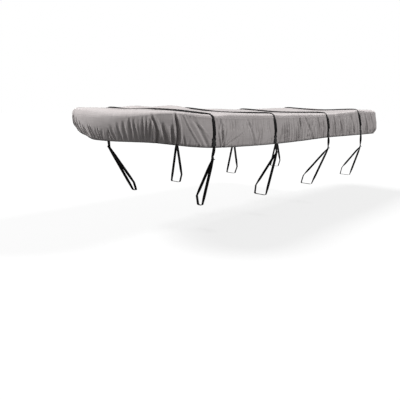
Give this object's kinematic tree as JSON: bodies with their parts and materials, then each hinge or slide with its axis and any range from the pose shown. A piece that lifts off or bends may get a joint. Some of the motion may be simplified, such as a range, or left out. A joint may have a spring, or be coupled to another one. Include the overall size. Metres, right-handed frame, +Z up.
{
  "type": "fitted boat cover with tie-down straps",
  "caption": "Grey woven fitted boat cover with an elastic hem, soft side folds, black webbing straps over the top, side-release buckles and webbing loops that tie it down.",
  "frame": {"origin": "under the top cloth, near mid-length on the centreline, where the covered thing holds it up", "axes": "+X to the bow, +Y to port, +Z up"},
  "size_m": [7.6093, 2.2688, 1.4001],
  "materials": {
    "canvas": "matt woven polyester canvas",
    "webbing": "woven webbing",
    "moulded": "fine moulded texture"
  },
  "bodies": {
    "root": {"cover": "canvas", "over_strap_1": "webbing", "over_strap_2": "webbing", "over_strap_3": "webbing", "over_strap_4": "webbing", "buckle_1_port": "moulded", "buckle_1_starboard": "moulded", "buckle_2_port": "moulded", "buckle_2_starboard": "moulded", "buckle_3_port": "moulded", "buckle_3_starboard": "moulded", "buckle_4_port": "moulded", "buckle_4_starboard": "moulded", "drop_1_port": "webbing", "drop_1_starboard": "webbing", "drop_2_port": "webbing", "drop_2_starboard": "webbing", "drop_3_port": "webbing", "drop_3_starboard": "webbing", "drop_4_port": "webbing", "drop_4_starboard": "webbing", "adjuster_1_port": "moulded", "adjuster_1_starboard": "moulded", "adjuster_2_port": "moulded", "adjuster_2_starboard": "moulded", "adjuster_3_port": "moulded", "adjuster_3_starboard": "moulded", "adjuster_4_port": "moulded", "adjuster_4_starboard": "moulded", "rail_loop_1_port": "webbing", "rail_loop_1_starboard": "webbing", "rail_loop_2_port": "webbing", "rail_loop_2_starboard": "webbing", "rail_loop_3_port": "webbing", "rail_loop_3_starboard": "webbing", "rail_loop_4_port": "webbing", "rail_loop_4_starboard": "webbing"}
  },
  "joints": []
}
